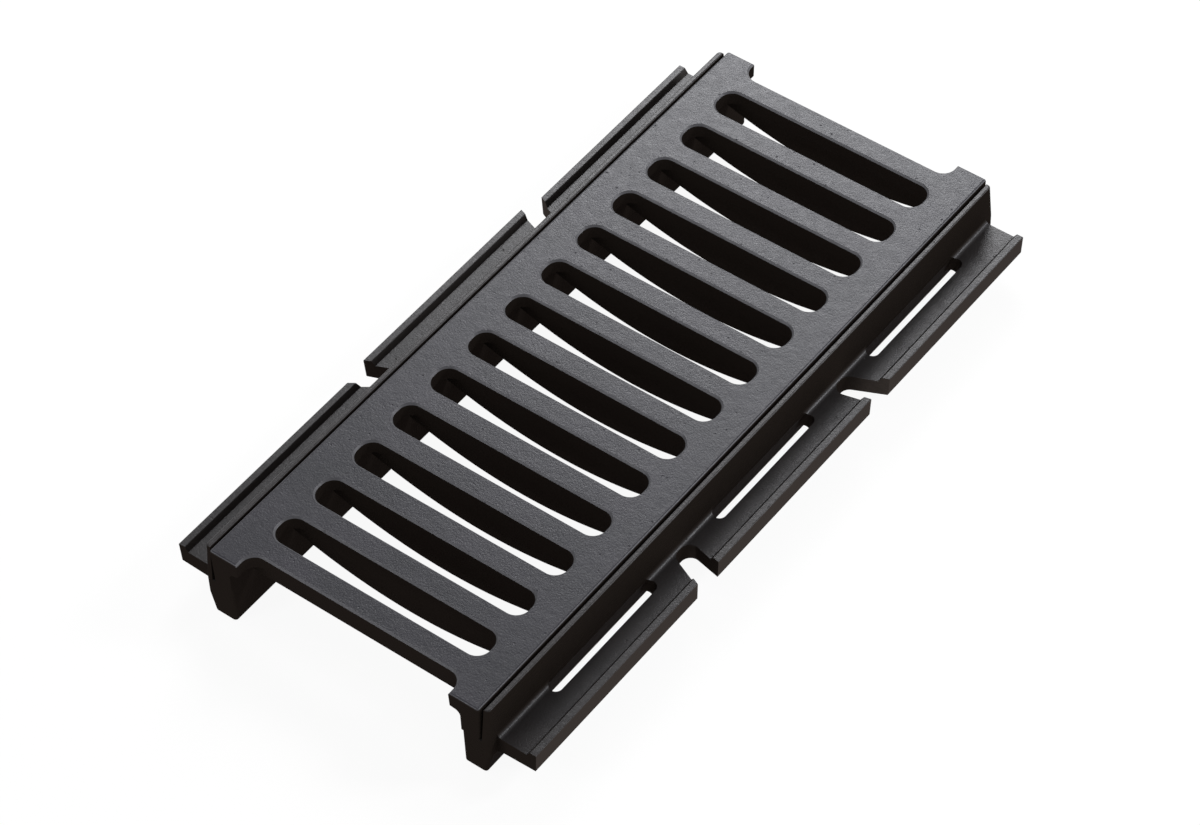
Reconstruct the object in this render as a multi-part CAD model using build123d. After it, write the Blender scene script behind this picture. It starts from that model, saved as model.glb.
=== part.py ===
from build123d import *
import math
import os

# A cast-iron drain grate lying in two edge rails. Millimetres, +Z up, Y along the channel.
# The origin is the middle of the assembly's footprint, on the surface that the rails stand on.

# Grate: a slab with cross slots, on a side beam along each long edge.
length = 500.0
width = 194.5
grate_depth = 27.0
slab_depth = 10.5
slab_rise = 1.0
slot_pitch = 35.34
slot_width = 20.3
slot_length = 153.0
slots_forward = 0.9
slots_left = 0.5
slot_corner = 8.8
slot_count = 13
draft_angle = 2.6
beam_width = 13.6
beam_draft = 0.8
beam_fillet = 4.0
bar_depth_middle = 25.6
bar_depth_side = 13.8
end_bar_depth = 13.2
corner_radius = 1.4
arris_radius = 1.5
slot_arris = 1.2

# Rail: an upstand beside the grate, a leg under its beam and a flange that the paving is bedded on.
# The leg has its full foot in a block at each end, and a narrower foot with a slanted outer face between them.
leg_height = 28.6
leg_foot_inset = 0.2
leg_foot_width = 15.3
leg_waist_width = 10.2
end_block = 30.0
foot_radius = 1.5
side_gap = 1.6
upstand_width = 3.6
upstand_drop = 0.6
upstand_draft = 0.3
upstand_lean = 2.8
upstand_arris = 1.0
end_arris = 2.4

flange_drop = 1.0
flange_reach = 27.6
flange_setback = 7.8
flange_edge_depth = 10.8
flange_root_depth = 12.0
flange_draft = 0.9
flange_fillet = 3.6
under_fillet = 3.0
lip_width = 6.8
lip_slope = 2.4
lip_height = 3.5
lip_radius = 0.6
left_middle_reach = 3.6

# Notches that part each flange in three: their middle and width at the root, then at the mouth.
notch_root = 2.2
notch_radius = 6.2
right_notches = ((-73.9, 14.8, -82.2, 19.8), (81.8, 14.8, 90.0, 19.2))
left_notches = ((-65.2, 14.4, -79.4, 21.4), (80.6, 15.0, 90.5, 17.0))

# The anchor slot in each of the three parts.
anchor_shift = 3.9
anchor_length = 96.0
anchor_width = 8.6
anchor_spacing = 154.9

# Sizes that follow from those above.
top = leg_height + grate_depth
half_width = width / 2
half_length = length / 2
slab_under = top - slab_depth
beam_face = half_width - beam_width
beam_foot = half_width - beam_draft
seat_middle = half_width - beam_width / 2
upstand_inner = half_width + side_gap
upstand_outer = upstand_inner + upstand_width
upstand_base = upstand_outer + upstand_draft
upstand_top = top - upstand_drop
flange_top = leg_height - flange_drop
flange_under = flange_top - flange_root_depth
flange_edge = upstand_outer + flange_reach
flange_half = half_length - flange_setback
leg_foot_inner = beam_face + leg_foot_inset
block_foot = leg_foot_inner + leg_foot_width
waist_foot = leg_foot_inner + leg_waist_width
waist_half = half_length - end_block
through = 2 * top
centring_shift = left_middle_reach / 2


def prism_along_y(profile, near, far):
    """Extrude a profile drawn in X and Z between two places along the channel."""
    half = (far - near) / 2
    return Pos(0, (near + far) / 2, 0) * extrude(Plane.XZ * profile, amount=half, both=True)


def slot_cutter(y, run_out=0):
    """A slot that widens downwards; run_out carries its outer side past the slab's end."""
    across = slot_width + abs(run_out)
    mouth = Pos(-slots_left, y + run_out / 2, top)
    outline = mouth * RectangleRounded(slot_length, across, slot_corner)
    return extrude(outline, amount=-slab_depth - slab_rise, taper=-draft_angle)


def beam_profile():
    """A side beam with its half of the slab's edge, drafted, with a filleted inner corner."""
    slot_end = slot_length / 2 - slots_left - arris_radius
    section = make_face(Polyline(
        (half_width, top),
        (beam_foot, leg_height),
        (beam_face, leg_height),
        (beam_face, slab_under - slab_rise),
        (slot_end, slab_under),
        (slot_end, top),
        close=True,
    ))
    corner = section.vertices().sort_by_distance((beam_face, slab_under - slab_rise, 0))[0]
    return fillet(corner, beam_fillet)


def belly_profile(middle, side):
    """The lengthwise outline of a bar below the slab: its depth grows to the middle in one arc."""
    reach = beam_face + 1
    upper = top - slab_depth / 2
    lower = top - side
    if middle == side:
        under = Line((reach, lower), (-reach, lower))
    else:
        under = ThreePointArc((reach, lower), (0, top - middle), (-reach, lower))
    sides = Polyline((-reach, lower), (-reach, upper), (reach, upper), (reach, lower))
    return make_face(under + sides)


def bar(y, middle, side):
    """One cross bar, tapered downwards, with the underside of the given depths."""
    narrowing = grate_depth * math.tan(math.radians(draft_angle))
    half_top = (slot_pitch - slot_width) / 2
    section = make_face(Polyline(
        (-half_top, top),
        (half_top, top),
        (half_top - narrowing, leg_height),
        (narrowing - half_top, leg_height),
        close=True,
    ))
    web = extrude(Plane.YZ * section, amount=beam_face + 1, both=True)
    keel = prism_along_y(belly_profile(middle, side), -slot_pitch / 2, slot_pitch / 2)
    return Pos(0, y, 0) * (web & keel)


def make_grate():
    """The grate: slab, side beams and bars as one casting."""
    slab = Pos(0, 0, top - slab_depth / 2) * Box(slot_length, length, slab_depth)
    beam = prism_along_y(beam_profile(), -half_length, half_length)
    body = slab + beam + mirror(beam, Plane.YZ)
    middle = slots_forward
    places = [middle + (i + 0.5 - slot_count / 2) * slot_pitch for i in range(slot_count)]
    slots = [slot_cutter(y) for y in places]
    last = (slot_count + 1) / 2 * slot_pitch
    slots += [slot_cutter(middle + sign * last, sign * slot_width) for sign in (-1, 1)]
    body = body - slots
    end = slot_count / 2 * slot_pitch
    bars = [bar(middle + sign * end, end_bar_depth, end_bar_depth) for sign in (-1, 1)]
    inner = [middle + (i + 1 - slot_count / 2) * slot_pitch for i in range(slot_count - 1)]
    bars += [bar(y, bar_depth_middle, bar_depth_side) for y in inner]
    body = body + bars
    tall = body.edges().filter_by(lambda e: e.bounding_box().size.Z > slab_depth / 2)
    uprights = tall.filter_by(lambda e: e.bounding_box().size.Y < 0.1)
    at_ends = uprights.filter_by(lambda e: abs(abs(e.center().Y) - half_length) < 0.1)
    corners = at_ends.filter_by(lambda e: abs(e.center().X) > beam_face)
    body = fillet(corners, corner_radius)
    rim = body.faces().sort_by(Axis.Z)[-1].edges()
    body = chamfer(rim.filter_by(lambda e: abs(e.center().X) < beam_face), slot_arris)
    rim = body.faces().sort_by(Axis.Z)[-1].edges()
    return fillet(rim.filter_by(lambda e: abs(e.center().X) > beam_face), arris_radius)


def leg_profile(foot):
    """A rail without its flange, with the foot's outer edge at foot: the leg, the seat, the upstand."""
    outline = [(leg_foot_inner, 0), (foot, 0)]
    if foot == block_foot:
        outline.append((upstand_base, flange_under))
    outline += [
        (upstand_base, flange_top),
        (upstand_outer, upstand_top),
        (upstand_inner, upstand_top),
        (beam_foot + side_gap, leg_height),
        (beam_face, leg_height),
    ]
    section = make_face(Polyline(*outline, close=True))
    feet = section.vertices().filter_by_position(Axis.Y, -0.1, 0.1)
    return fillet(feet, foot_radius)


def leg_face(foot):
    """Where the leg's outer face meets the flange's underside."""
    if foot == block_foot:
        return upstand_base
    return foot + (upstand_base - foot) * flange_under / flange_top


def flange_profile(edge, foot):
    """A rail with its flange out to edge, with the lip and the fillets at the root."""
    fall = (flange_root_depth - flange_edge_depth) / flange_reach
    edge_under = flange_under + fall * (edge - upstand_outer)
    flange = make_face(Polyline(
        (seat_middle, flange_top),
        (edge - lip_width, flange_top),
        (edge - lip_width + lip_slope, flange_top + lip_height),
        (edge, flange_top + lip_height),
        (edge - flange_draft, edge_under),
        (upstand_base, flange_under),
        (seat_middle, flange_under),
        close=True,
    ))
    crown = edge - lip_width + lip_slope
    tips = flange.vertices().filter_by_position(Axis.X, crown - 0.1, edge + 0.1)
    section = leg_profile(foot) + fillet(tips, lip_radius)
    root_top = section.vertices().sort_by_distance((upstand_base, flange_top, 0))[0]
    section = fillet(root_top, flange_fillet)
    root_under = section.vertices().sort_by_distance((leg_face(foot), flange_under, 0))[0]
    return fillet(root_under, under_fillet)


def notch_cutter(root_middle, root_width, mouth_middle, mouth_width):
    """A notch that opens outwards, from its rounded root beside the upstand past the flange's edge."""
    root = upstand_base + notch_root
    past = 1.4
    reach = past * (flange_edge - root)
    middle = root_middle + past * (mouth_middle - root_middle)
    half_mouth = (root_width + past * (mouth_width - root_width)) / 2
    outline = make_face(Polyline(
        (root, root_middle - root_width / 2),
        (root, root_middle + root_width / 2),
        (root + reach, middle + half_mouth),
        (root + reach, middle - half_mouth),
        close=True,
    ))
    corners = outline.vertices().filter_by_position(Axis.X, root - 0.1, root + 0.1)
    return extrude(fillet(corners, notch_radius), amount=through)


def anchor_cutter(i):
    """An anchor slot: upright at its outer wall, and slanted with the leg's face at its inner wall."""
    outline = RectangleRounded(anchor_width, anchor_length, anchor_width / 2 - 0.01)
    middle = upstand_base + anchor_width / 2
    place = anchor_shift + i * anchor_spacing
    upright = Pos(middle, place, 0) * extrude(outline, amount=through)
    down = Vector(waist_foot - upstand_base, 0, -flange_top).normalized()
    depth = (flange_root_depth + 2 * under_fillet) / abs(down.Z)
    slanted = extrude(Pos(middle, place, flange_top) * outline, amount=depth, dir=down)
    return upright + slanted


def upstand_end_cutter():
    """The wedge that leans the upstand's end face back from the end of the leg."""
    wedge = make_face(Polyline(
        (half_length, leg_height),
        (half_length + upstand_lean, leg_height),
        (half_length + upstand_lean, top),
        (half_length - upstand_lean, top),
        close=True,
    ))
    block = extrude(Plane.YZ * wedge, amount=width)
    return Pos(beam_foot + side_gap / 2, 0, 0) * block


def make_rail(middle_reach, notches):
    """The right-hand rail; its middle flange part, between the notches, may reach further out."""
    near_notch, far_notch = [(notch[0] + notch[2]) / 2 for notch in notches]
    block = leg_profile(block_foot)
    body = prism_along_y(leg_profile(waist_foot), -waist_half, waist_half)
    body += prism_along_y(block, -half_length, -waist_half)
    body += prism_along_y(block, waist_half, half_length)
    wide = flange_edge + middle_reach
    stretches = (
        (-flange_half, -waist_half, flange_edge, block_foot),
        (-waist_half, near_notch, flange_edge, waist_foot),
        (near_notch, far_notch, wide, waist_foot),
        (far_notch, waist_half, flange_edge, waist_foot),
        (waist_half, flange_half, flange_edge, block_foot),
    )
    for near, far, edge, foot in stretches:
        body += prism_along_y(flange_profile(edge, foot), near, far)
    body = body - [notch_cutter(*notch) for notch in notches]
    body = body - [anchor_cutter(i) for i in (-1, 0, 1)]
    wedge = upstand_end_cutter()
    body = body - [wedge, mirror(wedge, Plane.XZ)]
    tall = body.edges().filter_by(lambda e: e.bounding_box().size.Z > grate_depth / 3)
    ends = tall.filter_by(lambda e: abs(e.center().Y) > half_length - flange_setback / 2)
    body = fillet(ends.filter_by(lambda e: e.center().X > upstand_inner), end_arris)
    crests = body.faces().filter_by(lambda f: abs(f.center().Z - upstand_top) < 0.05)
    return fillet(crests.sort_by(SortBy.AREA)[-1].edges(), upstand_arris)


os.makedirs("parts", exist_ok=True)
right_rail = make_rail(0, right_notches)
left_rail = mirror(make_rail(left_middle_reach, left_notches), Plane.YZ)
nodes = {"grate": make_grate(), "frame_rail_left": left_rail, "frame_rail_right": right_rail}
for name, shape in nodes.items():
    export_step(Pos(centring_shift, 0, 0) * shape, f"parts/{name}.step")
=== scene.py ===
import math

import bpy
import numpy as np
from mathutils import Matrix, Vector


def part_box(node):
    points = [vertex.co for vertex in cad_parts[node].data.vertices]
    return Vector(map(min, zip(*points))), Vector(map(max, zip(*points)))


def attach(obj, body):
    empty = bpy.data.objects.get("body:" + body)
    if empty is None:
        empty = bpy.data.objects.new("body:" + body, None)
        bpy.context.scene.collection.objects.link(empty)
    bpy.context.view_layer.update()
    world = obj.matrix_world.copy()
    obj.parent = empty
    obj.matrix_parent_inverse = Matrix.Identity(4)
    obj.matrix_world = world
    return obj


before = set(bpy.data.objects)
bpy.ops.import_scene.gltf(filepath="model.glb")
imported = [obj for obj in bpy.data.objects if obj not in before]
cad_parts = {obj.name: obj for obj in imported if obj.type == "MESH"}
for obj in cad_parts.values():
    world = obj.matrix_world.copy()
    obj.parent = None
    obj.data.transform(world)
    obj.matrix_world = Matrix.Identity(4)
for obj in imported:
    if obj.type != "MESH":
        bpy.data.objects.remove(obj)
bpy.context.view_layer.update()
print("frame loaded")


# A socket that is written as arithmetic: each operator adds one maths node.
class Field:
    def __init__(self, tree, socket=None):
        self.tree = tree
        self.socket = socket

    # Any node: its type, its settings, its input sockets by name or number, and the output wanted.
    def node(self, kind, settings, sockets, output=0):
        node = self.tree.nodes.new(kind)
        for name, value in settings.items():
            setattr(node, name, value)
        for name, value in sockets.items():
            value = value.socket if isinstance(value, Field) else value
            if isinstance(value, bpy.types.NodeSocket):
                self.tree.links.new(value, node.inputs[name])
            else:
                node.inputs[name].default_value = value
        return Field(self.tree, node.outputs[output])

    # Leads the value to a socket of a shader or of an output.
    def feed(self, socket):
        self.tree.links.new(self.socket, socket)

    def maths(self, operation, first, second=0.0):
        return self.node("ShaderNodeMath", {"operation": operation}, {0: first, 1: second})

    def __add__(self, other):
        return self.maths("ADD", self, other)

    def __radd__(self, other):
        return self.maths("ADD", other, self)

    def __sub__(self, other):
        return self.maths("SUBTRACT", self, other)

    def __rsub__(self, other):
        return self.maths("SUBTRACT", other, self)

    def __mul__(self, other):
        return self.maths("MULTIPLY", self, other)

    def __rmul__(self, other):
        return self.maths("MULTIPLY", other, self)

    def __truediv__(self, other):
        return self.maths("DIVIDE", self, other)

    def __rtruediv__(self, other):
        return self.maths("DIVIDE", other, self)

    # The value without its sign.
    def magnitude(self):
        return self.maths("ABSOLUTE", self)

    # The value held between 0 and 1.
    def clamped(self):
        return self.maths("MINIMUM", self.maths("MAXIMUM", self, 0.0), 1.0)


# An empty material, its surface shader, and the Object coordinates as a field.
def newMaterial(name):
    material = bpy.data.materials.new(name)
    material.use_nodes = True
    tree = material.node_tree
    place = Field(tree).node("ShaderNodeTexCoord", {}, {}, "Object")
    return material, tree.nodes["Principled BSDF"], place


# Noise between 0 and 1 with blobs of a size in metres. Its scale is one divided by that size; detail is the
# number of finer layers, and roughness their strength.
def noiseAt(place, size, detail, roughness):
    sockets = {"Vector": place, "Scale": 1.0 / size, "Detail": detail, "Roughness": roughness}
    return place.node("ShaderNodeTexNoise", {"noise_dimensions": "3D"}, sockets, "Fac")


# One coordinate of a vector: X, Y or Z.
def along(vector, axis):
    return vector.node("ShaderNodeSeparateXYZ", {}, {"Vector": vector}, axis)


# The colour first where amount is 0 and second where it is 1; each is a field or three numbers.
def mixColours(amount, first, second):
    first, second = (end if isinstance(end, Field) else (*end, 1.0) for end in (first, second))
    return amount.node("ShaderNodeMix", {"data_type": "RGBA"}, {0: amount, 6: first, 7: second}, 2)


# Dipped cast iron: black coating over sand grain, with pits where the sand left them.
# Lengths are in metres. Rise is the upward part of a face's normal, 0 for a wall and 1 for a top.
# The colours also paint light: a highlight on the chamfers and floor light on the outermost faces.
ironSettings = {
    "grate": {
        "top": (0.014, 0.014, 0.017),
        "cloud": (0.022, 0.021, 0.026),
        # The rim colour is a painted highlight along the chamfers, far lighter than the top.
        "rim": (0.085, 0.085, 0.093),
    },
    "rails": {
        "top": (0.012, 0.011, 0.011),
        # The rim colour is a painted highlight along the chamfers, as light as the cloud.
        "cloud": (0.018, 0.016, 0.016),
        "rim": (0.018, 0.016, 0.016),
    },
    "wall": (0.021, 0.0165, 0.0138),
    # The outer wall colour is painted light from the white floor, lighter on the outermost faces.
    "floorLitWall": (0.056, 0.0465, 0.041),
    "topRoughness": 0.36,
    "wallRoughness": 0.75,
    "specular": 0.375,
    "tint": (0.36, 0.365, 0.39),
    "grain": {"size": 0.0012, "detail": 2.0, "roughness": 0.6},
    "blotch": {"size": 0.006, "detail": 2.0, "roughness": 0.5},
    "cloud": {"size": 0.045, "detail": 3.0, "roughness": 0.55},
    "grainHeight": 0.00012,
    "blotchHeight": 0.00010,
    "pitDepth": 0.00022,
    "grainRoughness": 0.2,  # how much each of these three changes the surface's roughness
    "blotchRoughness": 0.14,
    "pitRoughness": 0.2,
    "pitSize": 0.0032,
    "pitRadius": 0.24,  # as a part of pitSize
    "pitEdge": 6.0,
    "pitRarity": 0.9,  # nine cells in ten have no pit
    "pitFade": 14.0,
    "cloudFrom": 0.32,
    "cloudGain": 2.4,
    "upwardFrom": 0.3,  # the rise from which a face starts to look like a top
    "upwardGain": 2.2,
    "rimRise": 0.7,  # the rise of a chamfer
    "rimSharpness": 4.0,
    "outwardGain": 50.0,
    "outerFrom": 0.108,
    "outerFade": 0.012,
}


# Round dents in the middle of a few random cells: pitRadius less the distance from the cell's middle,
# times pitEdge, in the cells whose random number is above pitRarity.
def pitsAt(place):
    s = ironSettings
    cell = {"Vector": place, "Scale": 1.0 / s["pitSize"], "Randomness": 1.0}
    distance = place.node("ShaderNodeTexVoronoi", {"feature": "F1"}, cell, "Distance")
    cellColour = place.node("ShaderNodeTexVoronoi", {"feature": "F1"}, cell, "Color")
    chance = place.node("ShaderNodeSeparateColor", {}, {"Color": cellColour}, 0)
    dent = ((s["pitRadius"] - distance) * s["pitEdge"]).clamped()
    return dent * ((chance - s["pitRarity"]) * s["pitFade"]).clamped()


# Height is grain plus blotches less pits, each times its own height or depth.
# Upward is rise less upwardFrom, times upwardGain: 0 for a wall and 1 for a top.
# Rim is one less the way of rise from rimRise times rimSharpness: 1 on chamfers, where a highlight is
# painted, and 0 on walls and tops.
# Outward is the sideways part of the normal, times the place aside, times outwardGain: 1 on faces that look
# away from the middle. Outer is the way aside past outerFrom divided by outerFade, times outward: the
# outermost faces, where painted light from the floor goes.
# Colour goes from wall to top with upward. Walls go to the lighter outer wall colour with outer, which is
# painted light from the floor on the outermost faces. Tops go to cloud with wide noise, and then to the
# rim's lighter colour with rim, which is a painted highlight along the chamfers.
# Roughness goes from wallRoughness to topRoughness with upward, where the coating is smoother, a little up
# and down with grain and blotches, and up in pits.
# Metallic is one less upward: a wall mirrors no more than its dark colour, and a top has the coating's
# sheen.
def ironMaterial(name, look):
    material, shader, place = newMaterial(name)
    s = ironSettings
    grain, blotch, cloud = (noiseAt(place, **s[layer]) for layer in ("grain", "blotch", "cloud"))
    pit = pitsAt(place)
    height = grain * s["grainHeight"] + blotch * s["blotchHeight"] - pit * s["pitDepth"]
    bump = {"Strength": 1.0, "Distance": 1.0, "Height": height}
    normal = place.node("ShaderNodeBump", {}, bump, "Normal")

    facing = place.node("ShaderNodeNewGeometry", {}, {}, "Normal")
    rise = along(facing, "Z")
    aside = along(place, "X")
    upward = ((rise - s["upwardFrom"]) * s["upwardGain"]).clamped()
    # The rim mask: where the painted highlight lies, on the chamfers.
    rim = (1.0 - (rise - s["rimRise"]).magnitude() * s["rimSharpness"]).clamped()
    outward = (along(facing, "X") * aside * s["outwardGain"]).clamped()
    # The outer mask: where painted floor light lies, on the outermost faces.
    floorLitOuter = ((aside.magnitude() - s["outerFrom"]) / s["outerFade"]).clamped() * outward

    cloudy = ((cloud - s["cloudFrom"]) * s["cloudGain"]).clamped()
    top = mixColours(rim, mixColours(cloudy, look["top"], look["cloud"]), look["rim"])
    colour = mixColours(upward, mixColours(floorLitOuter, s["wall"], s["floorLitWall"]), top)
    rough = s["wallRoughness"] - upward * (s["wallRoughness"] - s["topRoughness"])
    rough = rough + (blotch - 0.5) * s["blotchRoughness"] + (grain - 0.5) * s["grainRoughness"]
    rough = rough + pit * s["pitRoughness"]

    shader.inputs["Specular IOR Level"].default_value = s["specular"]
    shader.inputs["Specular Tint"].default_value = (*s["tint"], 1.0)
    colour.feed(shader.inputs["Base Color"])
    (1.0 - upward).feed(shader.inputs["Metallic"])
    rough.clamped().feed(shader.inputs["Roughness"])
    normal.feed(shader.inputs["Normal"])
    return material


materials = {name: ironMaterial(f"iron_{name}", ironSettings[name]) for name in ("grate", "rails")}
for name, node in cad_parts.items():
    node.data.materials.clear()
    node.data.materials.append(materials["grate" if name == "grate" else "rails"])
print("iron made")

# The bellies of the grate's cross bars, in metres: they are deeper than the solid bars that they cover.
# Depths are measured down from the grate's top, and places from its middle.
bellySettings = {
    "bars": 14,
    "pitch": 0.03534,
    "forward": 0.0009,  # how far the row of bars lies from the grate's middle
    "mouth": 0.0203,  # the slots' width at the top
    "draft": math.radians(2.6),
    "reach": 0.0843,  # half of a belly's length; its ends lie inside the side beams
    "depth": 0.0316,
    "deepestAt": 0.005,
    "curve": 2.15,
    "nearBarDepth": 0.0178,
    "solidDepth": 0.0256,
    "solidSideDepth": 0.0138,
    "solidEndDepth": 0.0132,
    "overlap": 0.002,  # how far a belly reaches up into its solid bar
    "skin": 0.00004,  # how far its sides stand proud of the solid bar's
    "round": 0.0009,  # radius of its lower corners
    "stations": 41,
    "cornerSteps": 4,
    "sharpAngle": math.radians(35),
}


# A bar's underside: depth less curve times the square of the way from the deepest place.
# The near end bar has one depth all along.
def bellyDepth(bar, x):
    s = bellySettings
    if bar == 0:
        return np.full_like(x, s["nearBarDepth"])
    return s["depth"] - s["curve"] * (x - s["deepestAt"]) ** 2


# The underside of the solid bar that the belly is fitted over. The end bars have one depth. The others have
# solidDepth, less the drop to solidSideDepth times the square of the way from the middle divided by reach.
def solidBarDepth(bar, x):
    s = bellySettings
    if bar in (0, s["bars"] - 1):
        return np.full_like(x, s["solidEndDepth"])
    return s["solidDepth"] - (s["solidDepth"] - s["solidSideDepth"]) * (x / s["reach"]) ** 2


# Half of a bar's width at a depth: half of what the slots leave of the pitch, less the depth times the
# draft's tangent, plus the skin.
def barHalfWidth(depth):
    s = bellySettings
    return (s["pitch"] - s["mouth"]) / 2 - depth * math.tan(s["draft"]) + s["skin"]


# The rings of one belly, as an array of station, point and coordinate. A ring runs down one side, round
# both lower corners in quarter circles, and up the other side; its second half mirrors the first.
def bellyRings(bar):
    s = bellySettings
    x = np.linspace(-s["reach"], s["reach"], s["stations"])
    under = bellyDepth(bar, x)
    inside = np.minimum(solidBarDepth(bar, x), under) - s["overlap"]
    turn = np.linspace(0, math.pi / 2, s["cornerSteps"])
    across = (barHalfWidth(under) - s["round"])[:, None] + s["round"] * np.cos(turn)
    down = (under - s["round"])[:, None] + s["round"] * np.sin(turn)
    across = np.hstack([barHalfWidth(inside)[:, None], across])
    down = np.hstack([inside[:, None], down])
    middle = s["forward"] + (bar - (s["bars"] - 1) / 2) * s["pitch"]
    y = middle + np.hstack([across, -across[:, ::-1]])
    depth = np.hstack([down, down[:, ::-1]])
    return np.stack([np.repeat(x[:, None], y.shape[1], axis=1), y, -depth], axis=2)


# The faces of one belly, all pointing outwards: each point of a ring is joined to the same point of the
# next ring and to the points after both, and the first and the last ring are closed.
def bellyFaces(stations, count, first):
    ring = np.arange(count)
    after = (ring + 1) % count
    band = np.stack([ring, ring + count, after + count, after], axis=1)
    bands = first + np.arange(stations - 1)[:, None, None] * count + band
    ends = [(first + ring).tolist(), (first + (stations - 1) * count + ring[::-1]).tolist()]
    return bands.reshape(-1, 4).tolist() + ends


# One mesh of all bellies, placed under the middle of the grate's top.
def makeBellies():
    low, high = (np.array(corner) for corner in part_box("grate"))
    place = np.array([(low[0] + high[0]) / 2, (low[1] + high[1]) / 2, high[2]])
    points, faces = [], []
    for bar in range(bellySettings["bars"]):
        rings = bellyRings(bar)
        stations, count = rings.shape[:2]
        faces += bellyFaces(stations, count, len(points))
        points += (rings.reshape(-1, 3) + place).tolist()
    mesh = bpy.data.meshes.new("bar_bellies")
    mesh.from_pydata(points, [], faces)
    mesh.materials.append(materials["grate"])
    mesh.polygons.foreach_set("use_smooth", [True] * len(mesh.polygons))
    mesh.set_sharp_from_angle(angle=bellySettings["sharpAngle"])
    piece = bpy.data.objects.new("bar_bellies", mesh)
    bpy.context.scene.collection.objects.link(piece)
    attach(piece, "root")


makeBellies()
print("bellies made")


# 1 for the rays that show the background, those of the camera, of mirrors and of glass, and 0 for others:
# the sum of the three marks, held between 0 and 1.
def seenDirectly(tree):
    rays = ("Is Camera Ray", "Is Glossy Ray", "Is Transmission Ray")
    return sum(Field(tree).node("ShaderNodeLightPath", {}, {}, ray) for ray in rays).clamped()


# The pale floor, in metres. It lies a little under the rails' feet.
floorSettings = {
    "size": 6.0,
    "height": -0.0002,
    "colour": (0.82, 0.82, 0.82),
    "roughness": 0.9,
    "glow": 0.93,
}


# A diffuse sheet and a white glow, mixed by glow times seen directly, so that a trace of the shadow stays
# and the sheet throws no glow of its own on the object.
def makeFloor():
    s = floorSettings
    bpy.ops.mesh.primitive_plane_add(size=s["size"], location=(0, 0, s["height"]))
    floor = bpy.context.object
    floor.name = "floor"
    material, shader, place = newMaterial("floor_white")
    shader.inputs["Base Color"].default_value = (*s["colour"], 1.0)
    shader.inputs["Roughness"].default_value = s["roughness"]
    shader.inputs["Specular IOR Level"].default_value = 0.0
    tree = material.node_tree
    glow = place.node("ShaderNodeEmission", {}, {"Color": (1.0, 1.0, 1.0, 1.0)})
    covered = seenDirectly(tree) * s["glow"]
    both = place.node("ShaderNodeMixShader", {}, {0: covered, 1: shader.outputs[0], 2: glow})
    both.feed(tree.nodes["Material Output"].inputs["Surface"])
    floor.data.materials.append(material)


makeFloor()
print("floor made")

# World and lamps. Each lamp has its place, its aim, its width and height in metres, and its power in watts.
# The tops mirror the back softbox into the camera, most at the far end. The side softbox lights the rails'
# outer faces, the front softbox the faces towards the camera, and the key softbox all from above.
lightSettings = {
    "world": 0.25,
    "background": 1.0,
    "lamps": {
        "back_softbox": ((-1.0, 1.75, 1.5), (0.0, 0.2, 0.05), (1.1, 0.8), 57.0),
        "side_softbox": ((1.5, 1.25, 1.5), (0.1, 0.0, 0.04), (0.5, 0.5), 40.0),
        "front_softbox": ((-1.2, -2.1, 1.5), (0.0, 0.0, 0.04), (0.8, 0.8), 20.0),
        "key_softbox": ((-0.3, -0.4, 2.4), (0.0, 0.0, 0.0), (1.2, 1.2), 9.0),
    },
}


# A white world: its strength is world, plus what background has more times seen directly.
def makeWorld():
    world = bpy.data.worlds.new("studio")
    bpy.context.scene.world = world
    world.use_nodes = True
    tree = world.node_tree
    background = tree.nodes["Background"]
    background.inputs["Color"].default_value = (1.0, 1.0, 1.0, 1.0)
    span = lightSettings["background"] - lightSettings["world"]
    strength = seenDirectly(tree) * span + lightSettings["world"]
    strength.feed(background.inputs["Strength"])


# Each softbox stands at its place and is turned to look along the line to its aim.
def makeLamps():
    for name, (place, aim, size, power) in lightSettings["lamps"].items():
        lamp = bpy.data.lights.new(name, "AREA")
        lamp.shape = "RECTANGLE"
        lamp.size, lamp.size_y = size
        lamp.energy = power
        holder = bpy.data.objects.new(name, lamp)
        bpy.context.scene.collection.objects.link(holder)
        turn = (Vector(aim) - Vector(place)).to_track_quat("-Z", "Y")
        holder.matrix_world = Matrix.Translation(place) @ turn.to_matrix().to_4x4()


makeWorld()
makeLamps()
print("lights made")

# The camera of the photograph: its right, up and backward directions and its place in metres.
# Its lens is a length in pixels of a frame that is framePixels wide.
cameraSettings = {
    "right": (0.7964337, 0.6039581, -0.0304624),
    "up": (-0.4375164, 0.6102592, 0.6604265),
    "backward": (0.4174599, -0.5126581, 0.7502725),
    "place": (1.03411, -1.28094, 1.87483),
    "focalPixels": 4176.42,
    "framePixels": 1200,
    "sensor": 36.0,
    "clip": (0.05, 30.0),
}


# The lens in millimetres is focalPixels divided by framePixels, times the sensor's width.
# The three directions are the columns of the turn.
def makeCamera():
    look = cameraSettings
    camera = bpy.data.cameras.new("photo_camera")
    camera.sensor_width = look["sensor"]
    camera.lens = look["focalPixels"] / look["framePixels"] * look["sensor"]
    camera.clip_start, camera.clip_end = look["clip"]
    holder = bpy.data.objects.new("photo_camera", camera)
    bpy.context.scene.collection.objects.link(holder)
    turn = Matrix((look["right"], look["up"], look["backward"])).transposed().to_4x4()
    holder.matrix_world = Matrix.Translation(look["place"]) @ turn
    bpy.context.scene.camera = holder


makeCamera()
bpy.context.scene.view_settings.view_transform = "Standard"
print("camera made")
